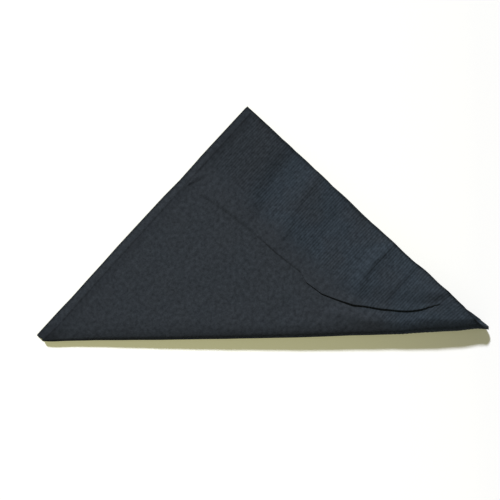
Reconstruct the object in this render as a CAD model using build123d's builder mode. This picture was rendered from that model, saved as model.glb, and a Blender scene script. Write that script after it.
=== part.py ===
from build123d import *
import os
from math import atan, degrees, sqrt

os.makedirs("parts", exist_ok=True)

# Paper napkin: one square sheet of soft two-ply tissue, folded in half, in half
# again and then once more from corner to corner, lying flat on a table.
# It stays a single sheet all the way through, so it is a single solid.

# Sheet
sheet_side = 330.0            # square, measured flat
sheet_thickness = 0.32        # both plies with their embossing
layer_gap = 0.16              # air between neighbouring layers

# Folds into quarters
inner_layer_step = 0.8        # the inner layer of a pair ends short of the outer one
upper_pair_step = 1.2         # the upper pair ends short of the lower pair

# Fold from corner to corner
closed_end_offset = 4.4       # where the crease leaves the closed corner
open_end_offset = 3.0         # where the crease meets the cut edge, from the open corner
closed_end_loop = 0.8         # inner radius of the fold at the closed end
open_end_loop = 3.6           # inner radius at the open end, where eight layers spring up
apex_opening = 0.5            # gap that stays between the two halves at the apex

# Embossed border along the cut edges
border_width = 35.0
rib_pitch = 1.375
groove_width = 1.5            # a little over the pitch, so that the grooves meet in crests
groove_depth = 0.16
rib_edge_margin = 0.9         # smooth paper between the ribs and the cut edge
plain_margin = 3.0            # smooth paper between the ribs and a fold

# Pucker in the top layer: one long soft wave that ends in a sharp lip
pucker_inset = 46.5           # from the cut edge, where the lip runs beside it
pucker_start = 60.0           # from the apex, along the cut edge
pucker_bend = 98.0            # where the lip turns towards the cut edge
pucker_end = 138.0            # where it dies out
pucker_end_inset = 11.0       # from the cut edge at that end
pucker_height = 1.3
pucker_width = 11.0

# Lengths that follow from the sizes above
quarter_side = sheet_side / 2
pair_height = 2 * sheet_thickness + layer_gap
pair_bend = pair_height / 2                   # depth of the crease, two layers round a fold
stack_bend = pair_height + layer_gap / 2      # outer radius, four layers round a fold
stack_height = 2 * stack_bend
bend_height = 2 * (stack_height + open_end_loop)
overrun = bend_height + open_end_offset

# The quarter-folded square is built flat, with its closed corner at the origin,
# one folded edge on X and the other on Y, and the face that stays outside down.
# The crease is an upright plane that runs close to the diagonal.
crease_run = Vector(quarter_side - closed_end_offset, quarter_side - open_end_offset, 0)
crease_length = crease_run.length
crease_dir = crease_run.normalized()
crease_start = Vector(closed_end_offset, 0, 0)
front_side = crease_dir.cross(Vector(0, 0, 1))
crease_plane = Plane(origin=crease_start, x_dir=crease_dir, z_dir=front_side)


def folded_pair(length_x, length_y):
    """Two layers joined by the first fold, a pressed crease that lies along Y."""
    with BuildPart() as pair:
        with BuildSketch(Plane.XZ.offset(-stack_bend)):
            with BuildLine():
                Polyline(
                    (pair_bend, 0),
                    (length_x, 0),
                    (length_x, sheet_thickness),
                    (pair_bend, sheet_thickness),
                    (sheet_thickness, pair_bend),
                    (pair_bend, pair_height - sheet_thickness),
                    (length_x - inner_layer_step, pair_height - sheet_thickness),
                    (length_x - inner_layer_step, pair_height),
                    (pair_bend, pair_height),
                    (0, pair_bend),
                    close=True,
                )
            make_face()
        extrude(amount=-(length_y - stack_bend))
    return pair.part


def quarter_fold(length_x, length_y):
    """Four layers: the pair above, carried round the second fold, along X."""
    lower = folded_pair(length_x, length_y)
    upper = folded_pair(length_x, length_y - upper_pair_step)
    bend_section = section(lower, section_by=Plane.XZ.offset(-stack_bend - 1))
    bend_section = bend_section.moved(Location((0, -1, 0)))
    with BuildPart() as quarter:
        add(lower)
        revolve(
            bend_section.faces(),
            axis=Axis((0, stack_bend, stack_bend), (1, 0, 0)),
            revolution_arc=-180,
        )
        add(mirror(upper, about=Plane.XY.offset(stack_bend), mode=Mode.PRIVATE))
    return quarter.part


def crease_axis():
    """Centre line of the last fold: it lies over the crease and climbs to the open end."""
    closed = crease_start + Vector(0, 0, stack_height + closed_end_loop)
    rise = Vector(0, 0, open_end_loop - closed_end_loop)
    return Axis(closed, crease_dir * crease_length + rise)


# Each half is the quarter-folded square on its own side of the crease. Past the open
# corner both run on, so that the bend between them can be drawn whole.
back_square = quarter_fold(quarter_side + overrun, quarter_side)
front_square = quarter_fold(quarter_side, quarter_side + overrun)
back_half = split(back_square, bisect_by=crease_plane, keep=Keep.BOTTOM)
front_half = split(front_square, bisect_by=crease_plane, keep=Keep.TOP)

# Embossed ribs: a wave of shallow V grooves square to the cut edge, all along it,
# pressed into the face that ends up outside. They stop short of the folds.
rib_count = int((quarter_side - 2 * plain_margin) / rib_pitch)
crest = groove_depth * (1 - rib_pitch / groove_width)
with BuildPart() as ribs:
    with BuildSketch(Plane.XZ.offset(rib_edge_margin - quarter_side)):
        with BuildLine():
            wave = [(plain_margin, crest)]
            for rib in range(rib_count):
                start = plain_margin + rib * rib_pitch
                wave.append((start + rib_pitch / 2, groove_depth))
                wave.append((start + rib_pitch, crest))
            wave.append((wave[-1][0], crest - sheet_thickness))
            wave.append((plain_margin, crest - sheet_thickness))
            Polyline(*wave, close=True)
        make_face()
    extrude(amount=border_width - rib_edge_margin)
diagonal = Plane(origin=(0, 0, 0), x_dir=(1, 1, 0), z_dir=(1, -1, 0))
back_ribs = split(ribs.part, bisect_by=crease_plane.offset(-plain_margin), keep=Keep.BOTTOM)
front_ribs = split(
    mirror(ribs.part, about=diagonal),
    bisect_by=crease_plane.offset(plain_margin),
    keep=Keep.TOP,
)

# Pucker: the top layer stands off the one below in a long wave, steep on its lip and
# easing down towards the cut edge. It is hollow, open to the gap under the layer.
# Here the layer faces down and the cut edge is the side at +X.
with BuildLine():
    lip = Spline(
        (quarter_side - pucker_inset, pucker_start),
        (quarter_side - pucker_inset, (pucker_start + pucker_bend) / 2),
        (quarter_side - pucker_inset + 2, pucker_bend),
        (quarter_side - (pucker_inset + pucker_end_inset) / 2, pucker_end - 11),
        (quarter_side - pucker_end_inset, pucker_end),
    )
stations = [(0.0, -0.04), (0.25, 0.5), (0.55, 1.0), (0.8, 0.8), (1.0, -0.04)]


def wave_sections(skin, base, lift):
    """Closed outlines across the wave, `skin` inside its outer face, from `base` up."""
    outlines = []
    for along, share in stations:
        tangent = lip.tangent_at(along)
        inner_face = lip.position_at(along) + Vector(0, 0, sheet_thickness)
        outward = Vector(tangent.Y, -tangent.X, 0)
        across = Plane(origin=inner_face, x_dir=outward, z_dir=tangent)
        wide = pucker_width * (0.25 + 0.75 * share) - skin
        crown = pucker_height * share + lift
        shoulder = base + 0.55 * (crown - base)
        with BuildSketch(across) as outline:
            with BuildLine():
                Polyline(
                    (skin, base),
                    (skin + 0.08 * wide, crown),
                    (skin + 0.32 * wide, crown),
                    (skin + 0.7 * wide, shoulder),
                    (wide, base),
                    close=True,
                )
            make_face()
        outlines.append(outline.sketch)
    return outlines


wave_shell = loft(wave_sections(0, sheet_thickness / 2, sheet_thickness))
wave_hollow = loft(wave_sections(sheet_thickness, -layer_gap / 2, 0))
wave_room = loft(wave_sections(-rib_edge_margin, -layer_gap / 2, 3 * sheet_thickness))
with BuildPart() as front:
    add(front_half)
    add(front_ribs - wave_room, mode=Mode.SUBTRACT)
    add(wave_shell)
    add(wave_hollow, mode=Mode.SUBTRACT)
with BuildPart() as back:
    add(back_half)
    add(back_ribs, mode=Mode.SUBTRACT)

# The front half swings up and over the back one, a little past a half turn, so that
# its far corner comes down to rest near the far corner below
axis = crease_axis()
mid_opening = closed_end_loop + open_end_loop
apex_reach = quarter_side / sqrt(2)
swing = -(180 + degrees(atan((mid_opening - apex_opening) / apex_reach)))

# The four layers in the bend: the cut face of the stack, turned about that axis and
# trimmed by a plane that joins the cut edge below to the cut edge on top
bend_square = quarter_fold(quarter_side + overrun, quarter_side + overrun)
bend_layers = section(bend_square, section_by=crease_plane)
trim_lean = degrees(atan(open_end_offset / bend_height))
trim_plane = Plane(Location((0, quarter_side, 0), (90 + trim_lean, 0, 0)))
with BuildPart() as roll:
    revolve(bend_layers.faces(), axis=axis, revolution_arc=swing)
    split(bisect_by=trim_plane, keep=Keep.TOP)

with BuildPart() as folded:
    add(back.part)
    add(roll.part)
    add(front.part.rotate(axis, swing))

# Set down with the crease along X, the closed corner at -X and the apex at +Y,
# and the middle of its outline over the origin
turned = folded.part.rotate(Axis.Z, -45)
middle = turned.bounding_box().center()
with BuildPart() as napkin:
    add(turned.moved(Location((-middle.X, -middle.Y, 0))))
napkin.part.label = "napkin"
export_step(napkin.part, "parts/napkin.step")
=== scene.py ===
# %% [markdown]
# # A folded paper napkin
# One square of soft dark tissue, folded in half, in half again, and then from corner
# to corner. In Blender it could be one thick triangle with a picture on it, but then
# its edges would show no layers and its folds no roundness. So the whole sheet is
# built here, all four quarters of it, and really folded three times.

import math
from collections import namedtuple

import bpy
import numpy as np
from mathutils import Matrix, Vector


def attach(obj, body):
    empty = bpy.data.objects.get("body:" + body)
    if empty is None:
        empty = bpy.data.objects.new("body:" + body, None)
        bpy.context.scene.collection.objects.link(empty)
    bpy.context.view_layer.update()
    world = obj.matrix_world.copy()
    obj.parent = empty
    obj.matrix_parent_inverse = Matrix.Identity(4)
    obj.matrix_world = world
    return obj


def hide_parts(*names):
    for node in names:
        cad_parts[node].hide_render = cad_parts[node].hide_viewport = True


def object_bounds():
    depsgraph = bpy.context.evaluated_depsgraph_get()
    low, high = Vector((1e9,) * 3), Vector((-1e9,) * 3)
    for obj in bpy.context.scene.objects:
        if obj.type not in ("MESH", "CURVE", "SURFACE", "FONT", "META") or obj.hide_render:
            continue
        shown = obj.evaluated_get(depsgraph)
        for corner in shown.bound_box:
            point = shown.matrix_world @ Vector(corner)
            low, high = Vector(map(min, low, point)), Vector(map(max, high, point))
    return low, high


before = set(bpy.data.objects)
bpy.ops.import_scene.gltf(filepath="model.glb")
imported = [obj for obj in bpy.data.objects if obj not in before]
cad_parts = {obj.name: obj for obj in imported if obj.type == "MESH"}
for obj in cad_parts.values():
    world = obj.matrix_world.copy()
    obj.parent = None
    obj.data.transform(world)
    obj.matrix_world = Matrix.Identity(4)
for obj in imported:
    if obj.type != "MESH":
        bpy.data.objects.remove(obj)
cad_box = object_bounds()
print("CAD box", cad_box)

# %% [markdown]
# ## The sizes of the sheet
# These are the sizes that the part was drawn with, in millimetres. The sheet is first
# folded into quarters, as a flat square with its closed corner at the origin, one
# folded edge along u and the other along v. The face that stays outside looks down.
# A flat square is easy to draw on, so every form is placed there before the last fold.

# %% Sizes in millimetres
QUARTER = 165.0
LAYER_PITCH = 0.48           # from the middle of one layer to the next
SHEET_THICK = 0.26
OUTER_LEVEL = 0.16           # the middle of the outermost layer
FIRST_BEND = LAYER_PITCH / 2
SECOND_BEND = LAYER_PITCH * 1.5
STACK_MIDDLE = OUTER_LEVEL + SECOND_BEND
STACK = 2 * STACK_MIDDLE
print("four layers make", round(STACK, 2), "mm")

# %% [markdown]
# ## The line of the last fold
# The last crease runs from the closed corner to the open one, a little off the
# diagonal. Eight layers don't fold flat: they leave a loop along the crease, which is
# tight at the closed corner and wide at the open one. The front half therefore turns a
# little past half a turn, so that its far corner comes down onto the back.

# %% The last crease
CLOSED_OFFSET = 4.4          # where the crease leaves the closed corner
OPEN_OFFSET = 3.0            # where it meets the cut edge, from the open corner
CLOSED_LOOP = 0.8            # inner radius of the loop at the closed corner
OPEN_LOOP = 3.6              # inner radius at the open corner
APEX_OPENING = 0.5           # gap that stays between the two halves at the apex

crease_start = np.array([CLOSED_OFFSET, 0.0])
crease_run = np.array([QUARTER - CLOSED_OFFSET, QUARTER - OPEN_OFFSET])
crease_length = np.hypot(*crease_run)
crease_dir = crease_run / crease_length
crease_out = np.array([crease_dir[1], -crease_dir[0]])
crease_slope = crease_run[0] / crease_run[1]
apex_reach = QUARTER / math.sqrt(2)
swing = math.pi + math.atan((CLOSED_LOOP + OPEN_LOOP - APEX_OPENING) / apex_reach)
print("crease", round(crease_length, 1), "mm long, swing", round(math.degrees(swing), 2))

# %% [markdown]
# ## Soft random waves
# Nothing in soft paper is quite flat or straight. A few sine waves that cross at odd
# angles are enough for the slow swell of a surface and for a cut edge that wanders.
# The seed is fixed, so the napkin comes out the same each time.

# %% Smooth noise from crossed waves
WAVE_COUNT = 7
WAVE_PEAK = 1.2              # brings the highest waves down to about 1


def swell(u, v, seed, short, long):
    """Smooth noise between about -1 and 1, with wavelengths from short to long."""
    rng = np.random.default_rng(seed)
    total = np.zeros(np.broadcast(u, v).shape)
    for _ in range(WAVE_COUNT):
        angle = rng.uniform(0, 2 * math.pi)
        length = rng.uniform(short, long)
        phase = rng.uniform(0, 2 * math.pi)
        distance = u * math.cos(angle) + v * math.sin(angle)
        total += np.sin(distance * 2 * math.pi / length + phase)
    return total / math.sqrt(WAVE_COUNT) / WAVE_PEAK


print("swell at the closed corner", round(float(swell(0, 0, 5, 16, 45)), 2))


# %% A smooth step
def ease(x, start, end):
    """0 before start, 1 after end, and a smooth step between."""
    t = np.clip((x - start) / (end - start), 0, 1)
    return t * t * (3 - 2 * t)


print("a quarter of the way along, a step has risen to", ease(0.25, 0, 1))


# %% [markdown]
# ## The first two folds as maps
# A fold could be made by turning half of a mesh, but then the bend itself would be a
# sharp line. Here each fold is a small rule that takes a place on the paper to a place
# round a bend. A negative p or q, from -1 to 0, runs round the bend itself, and a
# positive one is plain distance past it.

# %% Rules for the first two folds
def first_fold(p, level_z, inward):
    """Crease along v: gives u and the height of the layer."""
    turn = np.clip(-p, 0, 1) * math.pi / 2
    u = OUTER_LEVEL + FIRST_BEND * (1 - np.sin(turn)) + np.maximum(p, 0)
    return u, level_z + inward * FIRST_BEND * (1 - np.cos(turn))


def second_fold(q, height):
    """Crease along u: gives v and the height of the layer."""
    turn = np.clip(-q, 0, 1) * math.pi / 2
    radius = STACK_MIDDLE - height
    v = OUTER_LEVEL + SECOND_BEND - radius * np.sin(turn) + np.maximum(q, 0)
    return v, STACK_MIDDLE - radius * np.cos(turn)


print("the outer layer turns back at height", second_fold(-1, OUTER_LEVEL)[1].round(2))


# %% [markdown]
# ## The last fold as a turn
# The last fold turns one half of the square over about a line that climbs towards the
# open corner. Vertices in the bend get only a share of the turn, so they fan out
# round the loop by themselves.

# %% The rule for the last fold
def crease_u(v):
    """Where the last crease crosses the row at v."""
    return CLOSED_OFFSET + v * crease_slope


def along_crease(places):
    """How far along the last crease places in u and v are, as a share of its length."""
    return np.clip((places - crease_start) @ crease_dir / crease_length, 0, 1)


def loop_radius(share):
    """Outer radius of the loop, by the share of the way along the crease."""
    return STACK + CLOSED_LOOP + (OPEN_LOOP - CLOSED_LOOP) * share


def turn_over(points, share):
    """Turns points about the climbing axis over the crease by a share of the swing."""
    axis = np.array([crease_run[0], crease_run[1], OPEN_LOOP - CLOSED_LOOP])
    axis = axis / np.linalg.norm(axis)
    origin = np.array([CLOSED_OFFSET, 0.0, STACK + CLOSED_LOOP])
    angle = -swing * share[..., None]
    rel = points - origin
    along = (rel @ axis)[..., None] * axis
    return (origin + along + (rel - along) * np.cos(angle)
            + np.cross(np.broadcast_to(axis, rel.shape), rel) * np.sin(angle))


print("the loop's outer radius is", loop_radius(0), "to", round(loop_radius(1), 2), "mm")

# %% [markdown]
# ## The long pucker
# The top layer has slipped a little towards the cut edge and stands up in one long
# wave. Its lip starts by the folded edge, runs beside the ribbed border and then hooks
# round towards the open corner. A sculpted wave would blur, so the lip is a line of
# listed places, and later a column of the mesh follows it and keeps it crisp.

# %% The lip, by distance from the folded edge
# distance, lip from the cut edge, height of the lip, softness of its step
LIP = np.array([
    (0, 48.0, 0.3, 3.0), (12, 47.1, 0.45, 2.2), (28, 44.9, 0.45, 2.0), (46, 43.8, 0.4, 1.6),
    (52, 43.5, 0.42, 0.8), (61, 43.3, 0.42, 0.7), (70, 42.5, 0.42, 0.8), (77, 41.8, 0.5, 0.6),
    (82.5, 43.6, 0.6, 0.4), (92, 42.6, 0.68, 0.4), (100, 39.6, 0.68, 0.35),
    (108, 36.1, 0.68, 0.35), (113, 32.6, 0.68, 0.35), (120, 28.3, 0.65, 0.35),
    (127, 23.4, 0.6, 0.35), (132, 19.4, 0.55, 0.35), (134.5, 17.0, 0.45, 0.35),
    (136.5, 14.6, 0.3, 0.4), (138, 12.2, 0.2, 0.5), (139.3, 9.8, 0.1, 0.8),
    (140.5, 8.0, 0.0, 1.5), (146, 8.0, 0.0, 6.0), (165, 5.0, 0.0, 6.0)]).T


def lip_at(v):
    """Distance from the cut edge, height and softness of the lip."""
    return [np.interp(v, LIP[0], LIP[k]) for k in (1, 2, 3)]


print("lip rises to", LIP[2].max(), "mm")

# %% [markdown]
# ## The soft folds across the border
# The border has puffed up in a few soft folds that run from the cut edge to the lip,
# each rising slowly and dropping faster. One height line along the border gives them
# all. It is pushed sideways where the folds lean or bend, and sampled five times side
# by side, which rounds its corners.

# %% Soft folds
# distance along the border, height of the paper there
SOFT_FOLDS = np.array([
    (0, 0.0), (13, 0.6), (22, 1.1), (26.5, 1.0), (31.5, 0.1), (33, 0.05), (40, 0.4), (46, 1.1),
    (51, 1.4), (53.3, 0.9), (73, 0.0), (77, 0.3), (82, 0.3), (90, 0.6), (96, 0.85), (102.5, 2.2),
    (104.5, 1.55), (108, 1.3), (119, 1.7), (120.7, 1.25), (134, 1.7), (137, 1.75), (141, 1.45),
    (155, 0.2), (165, 0.0)]).T
LINE_BEND = 4.5              # how far a fold's line bends towards the open corner
BEND_SPAN = (20, 34)         # where it bends, from the cut edge
LINE_BOW = 1.2               # how far it bows the other way before that
BOW_REACH = 28
LINE_SLANT = 0.12            # slant of the folds that are near the folded edge
SLANT_SPAN = (45, 75)        # where the slant fades, from the folded edge
BLUR_AT_EDGE = 0.55          # half the width over which the line is averaged
BLUR_DROP = 0.2              # how much narrower that is by the lip
BLUR_SPAN = (18, 28)


def soft_folds(v, a):
    """Height of the soft folds at v along the border and a from the cut edge."""
    line = v - LINE_BEND * ease(a, *BEND_SPAN)
    line = line + LINE_BOW * np.sin(math.pi * np.clip(a, 0, BOW_REACH) / BOW_REACH)
    line = line - LINE_SLANT * a * (1 - ease(v, *SLANT_SPAN))
    blur = BLUR_AT_EDGE - BLUR_DROP * ease(a, *BLUR_SPAN)
    shifts = (-1.0, -0.5, 0.0, 0.5, 1.0)
    return sum(np.interp(line + s * blur, *SOFT_FOLDS) for s in shifts) / len(shifts)


print("soft folds rise to", SOFT_FOLDS[1].max(), "mm")

# %% [markdown]
# ## The embossed ribs
# Fine ribs are pressed into the border while the tissue is made, square to the cut
# edge. A bump map could fake them, but they would be missing from the exported mesh,
# so they are a cosine wave in the surface. The mesh rows lie along the ribs, four to
# each rib, so that the wave comes out even.

# %% Ribs
RIB_PITCH = 1.375
RIB_DEPTH = 0.16
RIB_END = (30.0, 34.5)       # where the ribs fade out, from the cut edge
RIB_START = (0.1, 0.6)       # smooth paper by the cut edge


def ribs(along, from_edge):
    """Depth of the embossed border at a place along the cut edge."""
    inside = (1 - ease(from_edge, *RIB_END)) * ease(from_edge, *RIB_START)
    return RIB_DEPTH * inside * (0.5 + 0.5 * np.cos(2 * math.pi * along / RIB_PITCH))


print("ribs to a centimetre", round(10 / RIB_PITCH, 1))

# %% [markdown]
# ## The puffed border
# Behind the lip the paper comes down in a long slow slope, the soft folds ride on it,
# and the cut edge curls up a little. All the layers of the front half share this
# form, the lower ones less and less, as they do in a real stack.

# %% Height of the border
WAVE_FALL = 18.0             # length over which the wave behind the lip dies down
AT_CUT_EDGE = 0.45           # share of the soft folds that reaches the cut edge
EDGE_SPAN = (0, 6)
LOST_BY_LIP = 0.75           # share of them that is gone by the lip
LOST_SPAN = (14, 3)          # where it goes, before the lip
EDGE_FLARE = 0.5             # the cut edge of the top layer curls up by this much
FLARE_WIDTH = 2.5
FLARE_LEAST = 0.5            # share of that curl by the folded edge


def puff(v, a, lip):
    """Height of the border where it has puffed up, shared by all the front layers."""
    _, high, _ = lip_at(v)
    wave = high * np.exp(-np.maximum(lip - a, 0) / WAVE_FALL)
    folds = soft_folds(v, a) * (AT_CUT_EDGE + (1 - AT_CUT_EDGE) * ease(a, *EDGE_SPAN))
    folds = folds * (1 - LOST_BY_LIP * ease(a, lip - LOST_SPAN[0], lip - LOST_SPAN[1]))
    flare = EDGE_FLARE * (FLARE_LEAST + v / QUARTER) * np.maximum(1 - a / FLARE_WIDTH, 0) ** 2
    return wave + folds + flare


print("height in the middle of the border", round(float(puff(80.0, 20.0, 42.0)), 2), "mm")

# %% [markdown]
# ## A small pinch
# On the left folded edge, towards the apex, the paper has been nipped, and one short
# crease crosses the edge. Modelled by hand it would be a few moved vertices. As a rule
# it is a short step in the surface with a gentle slope behind it.

# %% Pinch
PINCH_AT = (119.1, 2.9)      # u and v of its middle
PINCH_DIR = (0.907, 0.423)   # the way it runs
PINCH_HEIGHT = 0.65
PINCH_STEP = (-0.8, 0.5)     # from its line, where the step rises
PINCH_SLOPE = 3.5            # length over which the slope behind it dies down
PINCH_END = (4, 9)           # along its line, where it dies out


def pinch(u, v):
    """Height of the pinch: a short step with a slope behind it."""
    du = u - PINCH_AT[0]
    dv = v - PINCH_AT[1]
    along = du * PINCH_DIR[0] + dv * PINCH_DIR[1]
    across = du * PINCH_DIR[1] - dv * PINCH_DIR[0]
    slope = PINCH_HEIGHT * np.exp(-np.maximum(across, 0) / PINCH_SLOPE)
    return slope * ease(across, *PINCH_STEP) * (1 - ease(along, *PINCH_END))


print("height of the pinch", round(float(pinch(*PINCH_AT)), 2), "mm")

# %% [markdown]
# ## The face of the top layer
# The top layer shows most. Past the lip it drops to the plain middle of the napkin,
# which swells a little, and swells more under the hook. The lip also leans over its
# foot, which gives the thin dark line that the eye reads as a loose edge.

# %% How far the top layer stands off
STEP_START = -0.7            # where the step down from the lip begins and ends,
STEP_END = 0.6               # as shares of its softness
CENTRE_SWELL = 0.25          # height of the slow swells in the plain middle
CENTRE_SEED = 5
CENTRE_SPAN = (2, 14)        # past the lip, where the swells begin
CENTRE_WAVES = (16, 45)
UNDER_HEIGHT = 0.7           # the swell under the hook of the lip
UNDER_PLACE = 7.0            # its middle, past the lip
UNDER_WIDTH = 4.0
UNDER_START = (98, 106)      # from the folded edge
UNDER_END = (118, 130)
LEAN = 0.1                   # overhang of the lip, as a share of its height
LEAN_PLACE = 0.25            # its middle, before the lip
LEAN_WIDTH = 0.45
FREE_SPAN = (1, 7)           # paper is held by a fold up to here, and free past it
PINCH_SPAN = (0.9, 1.8)


def front_relief(u, v, a, lip):
    """How far the top layer of the front half stands off, and how far its lip leans out."""
    _, high, soft = lip_at(v)
    past = a - lip
    rise = 1 - ease(past, STEP_START * soft, STEP_END * soft)
    waves = swell(u, v, CENTRE_SEED, *CENTRE_WAVES)
    centre = ease(past, *CENTRE_SPAN) * (0.5 + 0.5 * waves)
    under = np.exp(-((past - UNDER_PLACE) / UNDER_WIDTH) ** 2)
    under = under * ease(v, *UNDER_START) * (1 - ease(v, *UNDER_END))
    lean = LEAN * high * np.exp(-((past + LEAN_PLACE) / LEAN_WIDTH) ** 2) * (soft < 1)
    soft_part = rise * puff(v, a, lip) + CENTRE_SWELL * centre + UNDER_HEIGHT * under
    off = ease(v, *FREE_SPAN) * soft_part + ease(v, *PINCH_SPAN) * pinch(u, v)
    return off, lean


print("the lip leans out by up to", round(LEAN * LIP[2].max(), 3), "mm")

# %% [markdown]
# ## Cut edges and folded edges
# The halves never lie exactly on each other. The front half has slid along the crease
# and its cut edge reaches out over the back's, by a listed line of distances.
# Each cut edge wanders a little. A folded edge is pressed thinner than the stack
# behind it, and the left one dips inwards in three places.

# %% Values for the edges
SLIDE = 0.8                  # the front half has slid this far along the crease
# distance from the folded edge, how far the front's cut edge reaches out over the back's
COVER = np.array([
    (0, 3.4), (40, 3.0), (55, 3.3), (64, 2.8), (83, 2.1), (100, 2.3), (117, 2.0), (124, 2.2),
    (132, 2.3), (138, 2.8), (144, 2.4), (148, 2.2), (153, 1.4), (160, -0.6), (165, -0.4)]).T
COVER_FADE = 60              # from the cut edge, where that reach has died out
EDGE_WANDER = 0.3            # how far a cut edge strays from straight
WANDER_FADE = 12
WANDER_WAVES = (14, 60)
# places along the left folded edge where it dips inwards, and how deep
DIPS = ((24, 0.4), (44, 0.5), (116, 0.6))
DIP_WIDTH = 7.0
DIP_FADE = 15
PRESSED = 0.5                # a folded edge is pressed to this share of the stack
PRESSED_SPAN = (-1.0, 4.5)


def pressed(distance):
    """Share of the stack's height that is left near a folded edge, where it is pressed."""
    return PRESSED + (1 - PRESSED) * ease(distance, *PRESSED_SPAN)


def edge_wander(along, from_edge, seed):
    """How far the paper near a cut edge strays outwards."""
    waves = swell(along, 0 * along, seed, *WANDER_WAVES)
    return EDGE_WANDER * waves * (1 - ease(from_edge, 0, WANDER_FADE))


print("the front's cut edge reaches out by up to", COVER[1].max(), "mm")

# %% [markdown]
# ## Rows and columns
# Each quarter starts as a grid. Its rows run from the cut edge of the front half,
# square to it, to the last crease, round that bend, and on to the cut edge of the back
# half, so they lie along the ribs everywhere. An even grid that is fine enough for the
# lip would have over ten times the faces, so the columns crowd together at the lip and
# at the cut edges instead.

# %% Columns of the front half
EDGE_TO_LIP = np.array([
    0, 0.012, 0.04, 0.1, 0.2, 0.32, 0.44, 0.56, 0.66, 0.72, 0.77, 0.82, 0.88, 0.93, 0.97])
LIP_ZONE = np.array([-2.2, -1.2, -0.6, -0.25, 0, 0.25, 0.6, 1.2, 2.2])
LIP_TO_CREASE = np.linspace(0, 1, 12)[1:]
LIP_LIMIT = 0.75             # in a short row the lip stays within this share of it
EDGE_ROOM = 10.0             # the zone shrinks where the lip is nearer to the cut edge
CREASE_ROOM = 8.0            # or to the crease than this


def front_columns(v, width):
    """Distances from the cut edge, for each row, out to the crease, and the lip's."""
    lip = np.minimum(lip_at(v)[0], LIP_LIMIT * width)
    zone = np.minimum(1.0, np.minimum(lip / EDGE_ROOM, (width - lip) / CREASE_ROOM))
    near = lip + LIP_ZONE[0] * zone
    far = lip + LIP_ZONE[-1] * zone
    a = [f * near for f in EDGE_TO_LIP]
    a += [lip + z * zone for z in LIP_ZONE]
    a += [far + f * (width - far) for f in LIP_TO_CREASE]
    return np.stack(a, 1), lip


print("front columns", len(EDGE_TO_LIP) + len(LIP_ZONE) + len(LIP_TO_CREASE))

# %% Columns of the back half
CORNER_ROWS = 3.0            # mm over which a row stops following the closed corner
CORNER_SHARES = (0, 0.3, 0.6, 0.85, 0.95, 1.0)
CORNER_PAST = (0.3, 0.6)     # mm past the corner
PLAIN_STEP = 0.5             # mm between these columns in rows far from the corner
BACK_SPREAD = np.linspace(0, 1, 11)[1:-1]
BACK_BORDER = np.array([40, 36, 34.5, 33, 28, 20, 12, 5, 1.5, 0.4, 0])
SHORT_ROW = 60.0             # in a row shorter than this all steps shrink


def back_columns(q, first_leg, length):
    """Distances from the crease, for each row, out to the cut edge of the back half."""
    small = np.minimum(1.0, length / SHORT_ROW)
    blend = ease(q, 0, CORNER_ROWS)
    corner = [first_leg * f for f in CORNER_SHARES]
    corner += [first_leg + past for past in CORNER_PAST]
    t = [c * (1 - blend) + PLAIN_STEP * j * small * blend for j, c in enumerate(corner)]
    start = t[-1]
    inner = length - BACK_BORDER[0] * small
    t += [start + f * (inner - start) for f in BACK_SPREAD]
    t += [length - b * small for b in BACK_BORDER]
    return np.stack(t, 1)


print("back columns", len(CORNER_SHARES + CORNER_PAST) + len(BACK_SPREAD) + len(BACK_BORDER))

# %% [markdown]
# ## The four quarters
# Folded twice, the sheet is a stack of four quarters. They differ in their height, in
# which way the first fold carries them, and in whether the second fold has turned them
# upside down. Four copies of one mesh would cut through each other at the folds, so
# each is made for its own place. Only the outermost one is seen whole, so it has four
# rows to each rib and the others are coarse. An inner layer ends a little short.

# %% What makes one quarter differ from another
RIB_COUNT = 117
ROWS_PER_RIB = 4
COARSE_STEPS = 58
INNER_STEP = 0.8             # a quarter inside the first fold ends this much short
UPPER_STEP = 1.2             # a quarter above the second fold ends this much short
Layer = namedtuple("Layer", "name rows level inward upper seed follow")

round_bend = [-1, -0.5, 0]
fine = np.arange(1, RIB_COUNT * ROWS_PER_RIB + 1) * RIB_PITCH / ROWS_PER_RIB
fine = np.concatenate([round_bend, fine])
coarse = np.linspace(0, fine[-1], COARSE_STEPS + 1)[1:]
coarse = np.concatenate([round_bend, [0.6, 1.4], coarse])
INNER_LEVEL = OUTER_LEVEL + LAYER_PITCH
# follow is the share of the border's puffing that reaches the layer
LAYERS = (
    Layer("folded_sheet", fine, OUTER_LEVEL, 1, False, seed=13, follow=1.0),
    Layer("second_quarter", coarse, INNER_LEVEL, -1, False, seed=11, follow=0.55),
    Layer("third_quarter", coarse, INNER_LEVEL, -1, True, seed=12, follow=0.45),
    Layer("fourth_quarter", coarse, OUTER_LEVEL, 1, True, seed=14, follow=0.25),
)
print("rows", len(fine), "in the outermost quarter and", len(coarse), "in the others")

# %% [markdown]
# ## The front half of a quarter
# On the flat square the front half lies between its cut edge and the crease. The
# relief is pressed outwards from it here, before it is turned over, because on the
# flat square outwards is simply down.

# %% Front half
RIBS_FROM_FOLD = (1, 3.5)    # the ribs start this far from the folded edge
HIDDEN_FADE = 12             # the puffing of a hidden layer dies out before the lip


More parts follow.
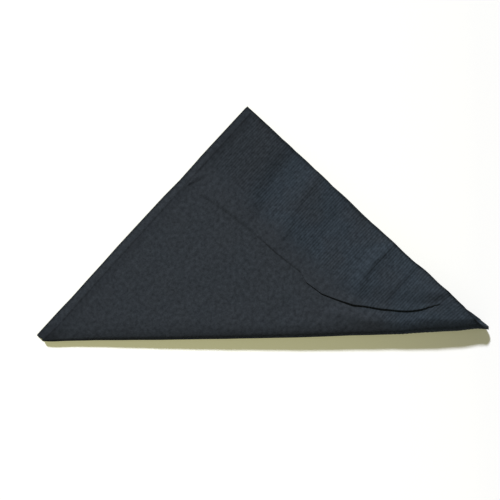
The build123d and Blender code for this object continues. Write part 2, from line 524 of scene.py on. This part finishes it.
def front_half(layer, q):
    """The front half's vertices before the last fold, and their places without relief."""
    v_row, z_row = second_fold(q, np.full(q.shape, layer.level))
    if layer.upper:
        z_row = STACK - z_row
    edge_u = QUARTER - (0.0 if layer.inward > 0 else INNER_STEP)
    a, lip = front_columns(v_row[:, 0], (edge_u - crease_u(v_row))[:, 0])
    lip = lip[:, None]
    u = edge_u - a
    v = np.broadcast_to(v_row, a.shape)
    plain = np.stack([u, v], -1)
    free = ease(v, *FREE_SPAN)
    wander = edge_wander(v, a, layer.seed)
    if layer is LAYERS[0]:
        off, lean = front_relief(u, v, a, lip)
        z = z_row - off + ribs(v, a) * ease(v, *RIBS_FROM_FOLD)
        wander = wander - lean
    else:
        near_edge = 1 - ease(a, lip - HIDDEN_FADE, lip)
        z = z_row - free * layer.follow * puff(v, a, lip) * near_edge
    cover = np.interp(v, *COVER) * (1 - ease(a, 0, COVER_FADE))
    z = STACK - (STACK - z) * pressed(v)
    return np.stack([u + cover + free * wander, v + SLIDE, z], -1), plain


print("front half of the outermost quarter", front_half(LAYERS[0], fine[:, None])[0].shape)

# %% [markdown]
# ## The back half of a quarter
# The back half has both folded edges, so a row can't simply be straight: it starts at
# the crease, runs along one folded edge to the closed corner, turns, and goes on to
# the cut edge. A few rows from the corner on, all of this has blended to plain rows.

# %% Paths of the rows on the back half
OPEN_POWER = 6               # how suddenly the rows shift as they near the open corner
SHORTEST = 0.3               # a row keeps at least this length
BEND_SHARES = np.array([1, 0.66, 0.33, 0])


def back_paths(layer, q):
    """How far the vertices of each row are past the first fold and past the second."""
    crease = crease_u(second_fold(q, np.full(q.shape, layer.level))[0])
    p_crease = crease - OUTER_LEVEL - FIRST_BEND
    reach = crease_u(CORNER_ROWS) - OUTER_LEVEL - FIRST_BEND
    p_leg = np.where(q <= 0, q, np.minimum(reach * q / CORNER_ROWS, p_crease))
    first_leg = np.maximum(p_crease - np.maximum(p_leg, 0), 0)
    shift = (q / q.max()) ** OPEN_POWER * OPEN_OFFSET
    second_leg = back_edge(layer) - (OUTER_LEVEL + SECOND_BEND + np.maximum(q, 0))
    length = np.maximum(first_leg + second_leg - shift, SHORTEST)
    t = back_columns(q[:, 0], first_leg[:, 0], length[:, 0])
    p = np.where(t < first_leg, p_crease - t, np.maximum(p_leg, 0) + 0 * t)
    past = np.where(t < first_leg, q + 0 * t, np.maximum(q, 0) + (t - first_leg))
    # The first rows run round the second fold itself. They come in along it, turn the
    # closed corner in the fifth to eighth column, and go out along the first fold.
    for row, turn in enumerate(q[:len(round_bend), 0]):
        p[row, :4] = p_crease[row, 0] * BEND_SHARES
        p[row, 4:] = np.maximum(turn, -0.5)
        p[row, 5:] = turn
        past[row, :6] = turn
        past[row, 6:8] = np.maximum([-0.5, 0.0], turn)
    return p + shift * crease_slope, past + shift


def back_edge(layer):
    """Where the cut edge of the back half lies."""
    return QUARTER - (UPPER_STEP if layer.upper else 0.0)


print("back half of the outermost quarter", back_paths(LAYERS[0], fine[:, None])[0].shape)

# %% Back half
RIBS_FROM_CORNER = (8, 12)   # the ribs start this far from the folded edge here
BACK_SEED = 20               # keeps the back's random waves apart from the front's


def back_half(layer, q):
    """The back half's vertices before the last fold, and their places without relief."""
    p, past = back_paths(layer, q)
    u, height = first_fold(p, layer.level, layer.inward)
    v, z = second_fold(past, height)
    plain = np.stack([u, v], -1)
    from_edge = back_edge(layer) - v
    wander = edge_wander(u, from_edge, layer.seed + BACK_SEED)
    dips = sum(deep * np.exp(-((v - where) / DIP_WIDTH) ** 2) for where, deep in DIPS)
    if layer is LAYERS[0]:
        z = z + ribs(u / crease_slope, from_edge) * ease(u, *RIBS_FROM_CORNER)
    if layer.upper:
        z = STACK - z
    z = z * pressed(u)
    u = u + dips * (1 - ease(u, 0, DIP_FADE))
    v = v + wander * ease(plain[..., 0], *FREE_SPAN)
    return np.stack([u, v, z], -1), plain


print("the folded edge dips by up to", max(deep for _, deep in DIPS), "mm")

# %% [markdown]
# ## The last fold settles
# A stack of soft paper doesn't stay a half circle where it is folded. A true half
# circle would darken only at its very edge, but the real fold darkens slowly over a
# wide strip. So the height near the edge is scaled to a slope that is part soft and
# part steep.

# %% Ease the top of the fold
CLOSED_ROUND = 9.0           # width of the strip in which the top eases down
OPEN_ROUND = 8.0
SLOPE_SHARE = 0.52           # share of the drop that is one soft slope
OPEN_SLOPE = 0.14            # how much more that is near the open corner
SLOPE_SPAN = (0.75, 0.92)
SLOPE_POWER = 1.7            # how that slope gathers towards the edge
POWER_DROP = 0.5             # how much more even it is near the open corner
POWER_SPAN = (0.55, 0.9)
EDGE_POWER = 8               # the rest of the drop comes at the very edge


def eased_top(inward, along):
    """What the height above the loop's radius is scaled by, near the edge of the fold."""
    radius = loop_radius(along)
    wide = CLOSED_ROUND + (OPEN_ROUND - CLOSED_ROUND) * along
    left = 1 - np.minimum(inward, wide) / wide
    soft = SLOPE_SHARE + OPEN_SLOPE * ease(along, *SLOPE_SPAN)
    power = SLOPE_POWER - POWER_DROP * ease(along, *POWER_SPAN)
    eased = 1 - soft * left ** power - (1 - soft) * left ** EDGE_POWER
    circle = np.sqrt(1 - (1 - np.minimum(inward, radius) / radius) ** 2)
    return np.minimum(eased / circle, 1)


print("in the middle of the strip", round(float(eased_top(4.0, 0.5)), 2), "of the half circle")

# %% [markdown]
# ## The edge and the ends of the last fold
# The folded edge bows in and out by a millimetre, and both ends are drawn out where
# the layers slide past each other. The bow is a short table by the share of the way
# along the fold, because that is how it was measured.

# %% Bow the edge and draw out the ends
# share of the way along the fold, how far its edge bows out there
BOW = np.array([
    (0, 0.8), (0.05, 0.6), (0.12, 0.4), (0.3, 0.85), (0.5, 0.95), (0.63, 0.8), (0.72, 0.35),
    (0.8, 0.2), (0.84, 0.1), (0.865, -0.35), (0.89, -0.6), (0.92, -0.25), (0.945, 0.05),
    (0.957, 0.1), (0.972, -0.3), (1, -1.4)]).T
BOW_FADE = 60                # mm from the edge, where the bow has died out
OPEN_REACH = 2.7             # how far the open end is drawn out along the fold
OPEN_SPAN = (0.88, 1)
TIP_PINCH = 0.22             # the open corner is this much narrower at its very end
TIP_BEYOND = 4.0             # the point it narrows to, past the end of the crease
TIP_OUT = 2.0                # and out from it
TIP_ANGLE = math.pi / 8      # half of the open corner's angle
CLOSED_REACH = 2.2           # how far the closed corner is drawn along the fold
CLOSED_SAG = 2.2             # and how far out
CLOSED_SPAN = (0, 10)
SAG_SPAN = (0.5, 4.5)


def bowed(places, along, inward, from_corner):
    """Places in u and v with the bow of the folded edge and the drawn-out ends."""
    bow = np.interp(along, *BOW) * (1 - ease(inward, 0, BOW_FADE))
    opening = ease(along, *OPEN_SPAN)
    places = places + bow[..., None] * crease_out + (OPEN_REACH * opening)[..., None] * crease_dir
    tip = crease_start + crease_dir * (crease_length + TIP_BEYOND) + crease_out * TIP_OUT
    across = np.array([math.sin(TIP_ANGLE), -math.cos(TIP_ANGLE)])
    side = (places - tip) @ across * TIP_PINCH * opening
    places = places - side[..., None] * across
    end = 1 - ease(from_corner, *CLOSED_SPAN)
    places = places - (CLOSED_REACH * end)[..., None] * crease_dir
    return places + (CLOSED_SAG * end * ease(inward, *SAG_SPAN))[..., None] * crease_out


print("the edge bows by", BOW[1].min(), "to", BOW[1].max(), "mm")

# %% Let the fold settle
# share of the way along the fold, height there against the part's
LIFT = np.array([(0, 0.80), (0.35, 0.97), (0.8, 1.0), (0.9, 1.1), (0.95, 1.04), (1, 0.93)]).T
LIFT_SPAN = (8, 40)          # mm from the edge, where the lift dies out
AT_EDGE = 0.001              # mm, keeps the very edge from a division by nothing


def relax(points):
    """Points of the folded sheet, with the last fold eased, bowed and lifted."""
    along = along_crease(points[..., :2])
    radius = loop_radius(along)
    inward = np.maximum(radius - (points[..., :2] - crease_start) @ crease_out, AT_EDGE)
    z = points[..., 2]
    z = np.where(z > radius, radius + (z - radius) * eased_top(inward, along), z)
    lift = 1 + (np.interp(along, *LIFT) - 1) * (1 - ease(inward, *LIFT_SPAN))
    places = bowed(points[..., :2], along, inward, points[..., 1])
    return np.concatenate([places, (z * lift)[..., None]], -1)


print("the fold is", LIFT[1].min(), "to", LIFT[1].max(), "times as high as the part's")

# %% [markdown]
# ## A whole quarter
# The two halves are joined by the vertices of the bend, which start as an even blend
# of the two rows of vertices beside it. Near the open corner they bulge out along the
# crease, where the layers spring apart. Then the last fold turns everything over.

# %% Join the halves round the bend and turn them over
BEND_COLUMNS = 12
BULGE = 0.85                 # how far the layers spring out, as a share of the loop
BULGE_POWER = 5


def quarter_points(layer):
    """A quarter's folded vertices, their places without relief, and their share of the turn."""
    q = layer.rows[:, None]
    front, plain_front = front_half(layer, q)
    back, plain_back = back_half(layer, q)
    turn = np.linspace(1, 0, BEND_COLUMNS + 1)[None, 1:-1]
    mix = turn[..., None]
    bend = front[:, -1:] * mix + back[:, :1] * (1 - mix)
    plain_bend = plain_front[:, -1:] * mix + plain_back[:, :1] * (1 - mix)
    bulge = BULGE * (STACK + OPEN_LOOP) * (q / q.max()) ** BULGE_POWER * np.sin(math.pi * turn)
    bend[..., :2] += bulge[..., None] * crease_dir
    points = np.concatenate([front, bend, back], 1)
    plain = np.concatenate([plain_front, plain_bend, plain_back], 1)
    share = np.concatenate([np.ones(front.shape[1]), turn[0], np.zeros(back.shape[1])])
    share = np.broadcast_to(share, points.shape[:2])
    return relax(turn_over(points, share)), plain, share


def unfolded(plain, share):
    """Places on the unfolded quarter, where the paper in the bend has its full length."""
    bend_length = math.pi * loop_radius(along_crease(plain)) * share
    return plain + bend_length[..., None] * crease_out


print("vertices of the outermost quarter", quarter_points(LAYERS[0])[0].shape[:2])


# %% [markdown]
# ## Setting it down
# So far everything is in the flat square's own directions. The part lies with the
# crease along X and the middle of its outline over the origin, so the square is turned
# by 45 degrees and moved to fit the part's box, which the frame gives.

# %% From the flat square to the part's frame
def place(points):
    """From the flat square's u, v, z in millimetres to the part's own frame in metres."""
    root = math.sqrt(2)
    lo, hi = cad_box
    mid_x = (OUTER_LEVEL + FIRST_BEND) / root - lo[0] * 1000
    mid_y = QUARTER / root - hi[1] * 1000
    x = (points[..., 0] + points[..., 1]) / root - mid_x
    y = (points[..., 1] - points[..., 0]) / root - mid_y
    return np.stack([x, y, points[..., 2]], -1) / 1000


print("closed corner of the square at", place(np.zeros(3)).round(4))

# %% [markdown]
# ## Marks for the colour
# The material has to know where the border, the folds and the cut edges are. A painted
# picture could tell it, but numbers stored at the vertices need no picture and follow
# the paper round its bends. Each mark is a value from 0 to 1 at every vertex.

# %% Border, shade and fold
# The marks place painted light: shade and fold say where shade is painted, and border where the
# bluish sheen is painted.
BORDER_EDGE = (26, 40)       # where the border's painted bluish sheen starts, from the folded edge
SHADE_END = (20, 45)         # the border's painted shade near the folded edges, fading out between these distances from them
SHEEN_START = (18, 45)        # the blue part of it
# the share of that painted sheen which is left by the folded edge
SHEEN_LEAST = 0.2
CORNER_PAINTED_SHADE = 0.7            # painted shade in the crumpled closed corner
CORNER_SPAN = (3.0, 5.5)
FOLD_SPAN = (1.1, 2.0)       # the line of painted shade along a folded edge
STRIP_PAINTED_SHADE = 0.6             # painted shade on the strip beside the left folded edge
STRIP_SPAN = (2.5, 6.5)
CUT_PAINTED_SHADE = 0.7               # the thin line of painted shade between the layers at a cut edge
CUT_SPAN = (0.2, 1.2)


def paper_marks(plain):
    """Masks for the material, by their names, from places on the flat square."""
    u, v = plain[..., 0], plain[..., 1]
    fold = np.minimum(u, v)
    edge = QUARTER - np.maximum(u, v)
    in_border = 1 - ease(edge, *BORDER_EDGE)
    # The fold mark is painted shade: the closed corner, the folded edges, the strip beside the
    # left folded edge and the cut edges.
    dark = np.max([
        CORNER_PAINTED_SHADE * (1 - ease(np.hypot(u, v), *CORNER_SPAN)),
        1 - ease(fold, *FOLD_SPAN),
        STRIP_PAINTED_SHADE * (1 - ease(v, *STRIP_SPAN)),
        CUT_PAINTED_SHADE * (1 - ease(edge, *CUT_SPAN))], axis=0)
    return {
        "shade": in_border * (1 - ease(fold, *SHADE_END)),
        "border": in_border * (SHEEN_LEAST + (1 - SHEEN_LEAST) * ease(fold, *SHEEN_START)),
        "fold": dark}


print("marks", list(paper_marks(np.zeros((1, 2)))))


# %% [markdown]
# ## From a grid to a quarter
# Each quarter begins as Blender's grid primitive with the right number of rows and
# columns. Its vertices are then moved to their folded places in one go, which a grid
# allows because each vertex knows its row and column from where it stands. Its map is
# the unfolded sheet, so a pattern on it runs on over every fold.

# %% A grid that knows its rows and columns
def numbered_grid(name, rows, cols):
    """A grid primitive, with the row and the column of each of its vertices."""
    bpy.ops.object.select_all(action="DESELECT")
    bpy.ops.mesh.primitive_grid_add(x_subdivisions=cols - 1, y_subdivisions=rows - 1, size=1)
    piece = bpy.context.object
    piece.name = name
    corners = np.empty(len(piece.data.vertices) * 3, "f")
    piece.data.vertices.foreach_get("co", corners)
    corners = corners.reshape(-1, 3)
    row = np.rint((corners[:, 1] + 0.5) * (rows - 1)).astype(int)
    col = np.rint((corners[:, 0] + 0.5) * (cols - 1)).astype(int)
    return piece, row, col


print("longest grid", len(fine), "rows")


# %% Shape a quarter, map it and mark it
def add_quarter(layer):
    """One quarter of the sheet, folded and in its place."""
    points, plain, share = quarter_points(layer)
    piece, row, col = numbered_grid(layer.name, *points.shape[:2])
    mesh = piece.data
    mesh.vertices.foreach_set("co", place(points)[row, col].astype("f").ravel())
    side = np.array([layer.inward, -1 if layer.upper else 1])
    sheet = unfolded(plain, share) * side / (2 * QUARTER) + 0.5
    loop_vertex = np.empty(len(mesh.loops), "i")
    mesh.loops.foreach_get("vertex_index", loop_vertex)
    mesh.uv_layers[0].name = "sheet"
    mesh.uv_layers[0].uv.foreach_set("vector", sheet[row, col][loop_vertex].astype("f").ravel())
    for label, value in paper_marks(plain).items():
        mark = mesh.attributes.new(label, "FLOAT", "POINT")
        mark.data.foreach_set("value", value[row, col].astype("f"))
    mesh.update()
    print(layer.name, len(mesh.polygons), "faces")
    return piece


quarters = [add_quarter(layer) for layer in LAYERS]

# %% [markdown]
# ## Sewing the quarters
# In the real sheet the quarters are one piece of paper. Here the rows along the shared
# folds lie exactly on each other, so the four grids are joined and their double
# vertices merged. What is left open is the cut edge of the sheet, all the way round.

# %% Join the quarters into one sheet
SEAM_GAP = 2e-6              # metres

bpy.ops.object.select_all(action="DESELECT")
for piece in quarters:
    piece.select_set(True)
napkin = quarters[0]
bpy.context.view_layer.objects.active = napkin
bpy.ops.object.join()
bpy.ops.object.mode_set(mode="EDIT")
bpy.ops.mesh.select_all(action="SELECT")
bpy.ops.mesh.remove_doubles(threshold=SEAM_GAP)
bpy.ops.mesh.normals_make_consistent(inside=False)
bpy.ops.object.mode_set(mode="OBJECT")


def open_edges(mesh):
    """How many edges only one face uses."""
    uses = np.zeros(len(mesh.edges), int)
    loop_edge = np.empty(len(mesh.loops), "i")
    mesh.loops.foreach_get("edge_index", loop_edge)
    np.add.at(uses, loop_edge, 1)
    return int((uses == 1).sum())


print("one sheet of", len(napkin.data.polygons), "faces,", open_edges(napkin.data), "open edges")

# %% [markdown]
# ## The thickness of the paper
# A Solidify modifier gives the skin its thickness, half to each side, and closes the
# cut edge with a rim. Drawing both faces by hand would double the work above. The
# shading is smooth and stays sharp at the rim.

# %% Give the sheet its thickness
SHARP_ANGLE = 50             # degrees

thick = napkin.modifiers.new("paper", "SOLIDIFY")
thick.thickness = SHEET_THICK / 1000
thick.offset = 0
bpy.ops.object.modifier_apply(modifier="paper")
bpy.ops.object.shade_smooth_by_angle(angle=math.radians(SHARP_ANGLE))
triangles = sum(len(face.vertices) - 2 for face in napkin.data.polygons)
print("with thickness", triangles, "triangles,", open_edges(napkin.data), "open edges")

# %% [markdown]
# ## The tissue
# Two-ply tissue is matt and faintly cloudy: its fibres take the dye unevenly, and fine
# creping breaks up the light. All of it follows the unfolded sheet, whose map is in
# millimetres here, so nothing jumps at a fold. Three noises in one node group give the
# clouds, the slow drift of the tint and the creping.

# %% A node group for the cloudiness and the creping
# name, scale for each millimetre, detail, roughness
TISSUE_NOISE = (("Cloud", 0.48, 3, 0.72), ("Tint", 0.06, 2, 0.5), ("Crepe", 1.1, 3, 0.6))


def tissue_group():
    """Masks of the tissue by the unfolded sheet's own map."""
    group = bpy.data.node_groups.new("tissue", "ShaderNodeTree")
    nodes, links = group.nodes, group.links
    sheet_map = nodes.new("ShaderNodeUVMap")
    sheet_map.uv_map = "sheet"
    size = nodes.new("ShaderNodeMapping")
    size.inputs["Location"].default_value = (-QUARTER, -QUARTER, 0)
    size.inputs["Scale"].default_value = (2 * QUARTER, 2 * QUARTER, 1)
    links.new(sheet_map.outputs["UV"], size.inputs["Vector"])
    for name, *_ in TISSUE_NOISE:
        group.interface.new_socket(name, in_out="OUTPUT", socket_type="NodeSocketFloat")
    out = nodes.new("NodeGroupOutput")
    for name, scale, detail, rough in TISSUE_NOISE:
        noise = nodes.new("ShaderNodeTexNoise")
        noise.inputs["Scale"].default_value = scale
        noise.inputs["Detail"].default_value = detail
        noise.inputs["Roughness"].default_value = rough
        links.new(size.outputs["Vector"], noise.inputs["Vector"])
        links.new(noise.outputs["Fac"], out.inputs[name])
    return group


tissue_masks = tissue_group()
print("tissue group puts out", [name for name, *_ in TISSUE_NOISE])


# %% [markdown]
# ## Small helpers for node trees
# A few steps come back in the materials: reading a mark from the mesh, mapping a value
# from one range to another, joining two values, and scaling a colour. Written once as
# functions, they keep each material as short as its recipe.

# %% Node helpers
def mark_value(tree, name):
    """The value that the mesh stores at its vertices under this name."""
    node = tree.nodes.new("ShaderNodeAttribute")
    node.attribute_name = name
    return node.outputs["Fac"]


def ramp(tree, source, start, end, low, high):
    """A value that goes from low to high as the source goes from start to end."""
    node = tree.nodes.new("ShaderNodeMapRange")
    node.inputs["From Min"].default_value = start
    node.inputs["From Max"].default_value = end
    node.inputs["To Min"].default_value = low
    node.inputs["To Max"].default_value = high
    tree.links.new(source, node.inputs["Value"])
    return node.outputs["Result"]


def maths(tree, operation, first, second):
    """A Math node on two values."""
    node = tree.nodes.new("ShaderNodeMath")
    node.operation = operation
    tree.links.new(first, node.inputs[0])
    tree.links.new(second, node.inputs[1])
    return node.outputs[0]


def scaled(tree, colour, factor):
    """A colour times a value."""
    node = tree.nodes.new("ShaderNodeVectorMath")
    node.operation = "SCALE"
    tree.links.new(colour, node.inputs[0])
    tree.links.new(factor, node.inputs["Scale"])
    return node.outputs["Vector"]


print("node helpers ready, for tissue and table")

# %% [markdown]
# ## The napkin's material
# The dyed tissue is a dark slate. Painted on it are a bluish sheen in the embossed border,
# shade on the border towards the folded edges, and the darkest shade along the folds,
# the cut edges and the closed corner. Several materials would meet in hard lines, so it
# is one rough shader. The marks and the tissue's masks feed its colour, and the creping,
# which is finer than the mesh, is a faint bump.

# %% The colour of the tissue
CENTRE = (0.0295, 0.0344, 0.0414, 1)
# the border's colour holds a painted bluish sheen of the embossed ribs
EMBOSSED_WITH_SHEEN = (0.0280, 0.0374, 0.0488, 1)
SHEEN_RANGE = (0.15, 0.95)    # how much of the painted bluish sheen shows outside the border and in it
TINT_RANGE = (0.5, 1.3)      # how the slow drift of the tint scales that
TINT_NOISE = (0.35, 0.65)    # the part of the noise that this uses
CLOUD_RANGE = (0.66, 1.34)   # how dark and how light the clouds are
CLOUD_NOISE = (0.3, 0.7)
PAINTED_SHADE_LEVEL = 0.5              # brightness under the painted shade of the folds, the cut edges and the closed corner
SHADE_DARK = 0.84            # brightness under the painted shade of the border near the folded edges


def tissue_colour(tree, masks):
    """The dye's colour with its clouds, a painted bluish sheen on the border, and painted shade
    where the marks say so.
    """
    painted_sheen = ramp(tree, mark_value(tree, "border"), 0, 1, *SHEEN_RANGE)
    drift = ramp(tree, masks.outputs["Tint"], *TINT_NOISE, *TINT_RANGE)
    tint = tree.nodes.new("ShaderNodeMix")
    tint.data_type = "RGBA"
    tint.inputs[6].default_value = CENTRE
    tint.inputs[7].default_value = EMBOSSED_WITH_SHEEN
    tree.links.new(maths(tree, "MULTIPLY", painted_sheen, drift), tint.inputs[0])
    clouds = ramp(tree, masks.outputs["Cloud"], *CLOUD_NOISE, *CLOUD_RANGE)
    colour = scaled(tree, tint.outputs[2], clouds)
    # Painted shade from the fold mark, then the border's painted shade near the folded edges.
    colour = scaled(tree, colour, ramp(tree, mark_value(tree, "fold"), 0, 1, 1, PAINTED_SHADE_LEVEL))
    return scaled(tree, colour, ramp(tree, mark_value(tree, "shade"), 0, 1, 1, SHADE_DARK))


print("middle", CENTRE[:3], "border", EMBOSSED_WITH_SHEEN[:3])

# %% The shader of the tissue
CREPE_STRENGTH = 0.6
CREPE_HEIGHT = 0.00015


def slate_tissue():
    """Matt dark tissue with a trace of sheen."""
    paper = bpy.data.materials.new("slate_tissue")
    paper.use_nodes = True
    tree = paper.node_tree
    shader = tree.nodes["Principled BSDF"]
    shader.inputs["Roughness"].default_value = 0.9
    shader.inputs["Specular IOR Level"].default_value = 0.03
    shader.inputs["Sheen Weight"].default_value = 0.06
    shader.inputs["Sheen Roughness"].default_value = 0.4
    masks = tree.nodes.new("ShaderNodeGroup")
    masks.node_tree = tissue_masks
    tree.links.new(tissue_colour(tree, masks), shader.inputs["Base Color"])
    bump = tree.nodes.new("ShaderNodeBump")
    bump.inputs["Strength"].default_value = CREPE_STRENGTH
    bump.inputs["Distance"].default_value = CREPE_HEIGHT
    tree.links.new(masks.outputs["Crepe"], bump.inputs["Height"])
    tree.links.new(bump.outputs["Normal"], shader.inputs["Normal"])
    return paper


napkin.data.materials.append(slate_tissue())
print("material", napkin.data.materials[0].name)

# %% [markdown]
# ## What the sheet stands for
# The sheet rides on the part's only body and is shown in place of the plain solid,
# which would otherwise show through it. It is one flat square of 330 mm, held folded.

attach(napkin, "root")
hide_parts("napkin")
print(napkin.name, "replaces the plain node")


# %% [markdown]
# ## The white table
# The lit table in the photograph is pure white, while the shadow beside the fold is a
# warm olive grey. More light would spoil the napkin, so the rays that look see a glow
# added to what falls on the table, and the rays that light things see it plain.

# %% Which rays see the white background
LOOKING_RAYS = ("Is Camera Ray", "Is Glossy Ray", "Is Transmission Ray")


def looking_ray(tree):
    """1 for the rays that look at things, and 0 for the rays that light them."""
    path = tree.nodes.new("ShaderNodeLightPath")
    looks = path.outputs[LOOKING_RAYS[0]]
    for name in LOOKING_RAYS[1:]:
        looks = maths(tree, "MAXIMUM", looks, path.outputs[name])
    return looks


def pick_by_ray(tree, lighting, seen, output):
    """Shows one shader to the rays that light things and another to those that look."""
    pick = tree.nodes.new("ShaderNodeMixShader")
    tree.links.new(looking_ray(tree), pick.inputs[0])
    tree.links.new(lighting.outputs[0], pick.inputs[1])
    tree.links.new(seen.outputs[0], pick.inputs[2])
    tree.links.new(pick.outputs[0], tree.nodes[output].inputs["Surface"])


print("the background is white for", LOOKING_RAYS)

# %% The table's glow
TABLE_PALE = (0.85, 0.85, 0.85, 1)       # for the rays that light things
TABLE_SEEN = (0.88, 0.89, 1.0, 1)        # for those that look, under the glow
SHADOW_GLOW = (0.258, 0.250, 0.108, 1)   # what the shadow keeps, a warm olive
GLOW_REACH = 0.12            # metres to each side over which the glow fades
GLOW_POWER = 3               # it fades late, near the open end
GLOW_LEFT = 1.12             # strength at the closed end of the fold
GLOW_RIGHT = 0.60            # strength at the open end, where the weaker glow paints the shadow darker


def table_glow(tree):
    """A glow for the rays that look, weaker towards the open end of the fold, which paints the
    table's shadow darker there.
    """
    where = tree.nodes.new("ShaderNodeTexCoord")
    axes = tree.nodes.new("ShaderNodeSeparateXYZ")
    tree.links.new(where.outputs["Object"], axes.inputs[0])
    across = ramp(tree, axes.outputs["X"], -GLOW_REACH, GLOW_REACH, 0, 1)
    fall = tree.nodes.new("ShaderNodeMath")
    fall.operation = "POWER"
    fall.inputs[1].default_value = GLOW_POWER
    tree.links.new(across, fall.inputs[0])
    glow = tree.nodes.new("ShaderNodeEmission")
    glow.inputs["Color"].default_value = SHADOW_GLOW
    strength = ramp(tree, fall.outputs[0], 0, 1, GLOW_LEFT, GLOW_RIGHT)
    tree.links.new(strength, glow.inputs["Strength"])
    return glow


print("glow", GLOW_LEFT, "to", GLOW_RIGHT)


# %% The table
TABLE_SIDE = 4.0
TABLE_DROP = 0.0001          # keeps the table just under the paper


def white_table():
    """Pale to the rays that light things, and white to those that look."""
    table = bpy.data.materials.new("white_table")
    table.use_nodes = True
    tree = table.node_tree
    tree.nodes.remove(tree.nodes["Principled BSDF"])
    plain = tree.nodes.new("ShaderNodeBsdfDiffuse")
    plain.inputs["Color"].default_value = TABLE_PALE
    seen = tree.nodes.new("ShaderNodeBsdfDiffuse")
    seen.inputs["Color"].default_value = TABLE_SEEN
    both = tree.nodes.new("ShaderNodeAddShader")
    tree.links.new(seen.outputs[0], both.inputs[0])
    tree.links.new(table_glow(tree).outputs[0], both.inputs[1])
    pick_by_ray(tree, plain, both, "Material Output")
    return table


bpy.ops.object.select_all(action="DESELECT")
bpy.ops.mesh.primitive_plane_add(size=TABLE_SIDE, location=(0, 0, -TABLE_DROP))
floor = bpy.context.object
floor.name = "floor"
floor.data.materials.append(white_table())
print("table", TABLE_SIDE, "m wide")

# %% [markdown]
# ## Light
# The soft folds show by how light falls along them, and the ends of the shadow tell
# where it comes from: the upper left, fairly low. An area lamp would fall off across
# the napkin, so it is a sun with a slightly soft shadow. A second weak sun shines from
# the near side and keeps the rolled fold from going black.

# %% Two suns
def add_sun(place_m, turn_deg, energy, angle_deg):
    """A sun lamp with its turn and its width in degrees."""
    bpy.ops.object.light_add(type="SUN", location=place_m)
    lamp = bpy.context.object
    lamp.rotation_euler = [math.radians(turn) for turn in turn_deg]
    lamp.data.energy = energy
    lamp.data.angle = math.radians(angle_deg)
    return lamp


sun = add_sun((0, 0.5, 0.5), (-58, 0, 22), energy=4.75, angle_deg=5)
bounce = add_sun((0, -0.5, 0.2), (68, 0, 0), energy=0.18, angle_deg=60)
bounce.data.color = (1.0, 0.97, 0.88)
print("sun", sun.data.energy, "bounce", round(bounce.data.energy, 2))

# %% [markdown]
# ## The room
# The rest of the light comes from a warm room, dim so that the shadow keeps its depth.
# Seen above the table in a low view, such a room would look olive, so the rays that
# look see plain white instead.

# %% The world
ROOM_LIGHT = (1.0, 0.96, 0.72, 1)
ROOM_STRENGTH = 0.125


def pale_room():
    """A dim warm room that looks plain white."""
    room = bpy.data.worlds.new("room")
    room.use_nodes = True
    tree = room.node_tree
    dim = tree.nodes["Background"]
    dim.inputs["Color"].default_value = ROOM_LIGHT
    dim.inputs["Strength"].default_value = ROOM_STRENGTH
    white = tree.nodes.new("ShaderNodeBackground")
    white.inputs["Color"].default_value = (1, 1, 1, 1)
    pick_by_ray(tree, dim, white, "World Output")
    return room


bpy.context.scene.world = pale_room()
print("world", bpy.context.scene.world.name, "at", ROOM_STRENGTH)

# %% [markdown]
# ## The camera
# The photograph was taken from almost straight above, turned and tilted by a degree or
# two. That could be set by eye, but half a degree shows in so plain a shape, so its
# place and turn were fitted to the triangle's edges and corners in the picture.

# %% Camera
CAMERA_PLACE = (0.00088, -0.00935, 0.26217)
CAMERA_TURN = (-1.251, 1.036, -1.87)     # degrees
CAMERA_LENS = 35

bpy.ops.object.camera_add(
    location=CAMERA_PLACE,
    rotation=[math.radians(turn) for turn in CAMERA_TURN])
camera = bpy.context.object
camera.data.lens = CAMERA_LENS
bpy.context.scene.camera = camera
bpy.context.scene.view_settings.view_transform = "Standard"
print("camera", round(CAMERA_PLACE[2] * 1000), "mm above the table")
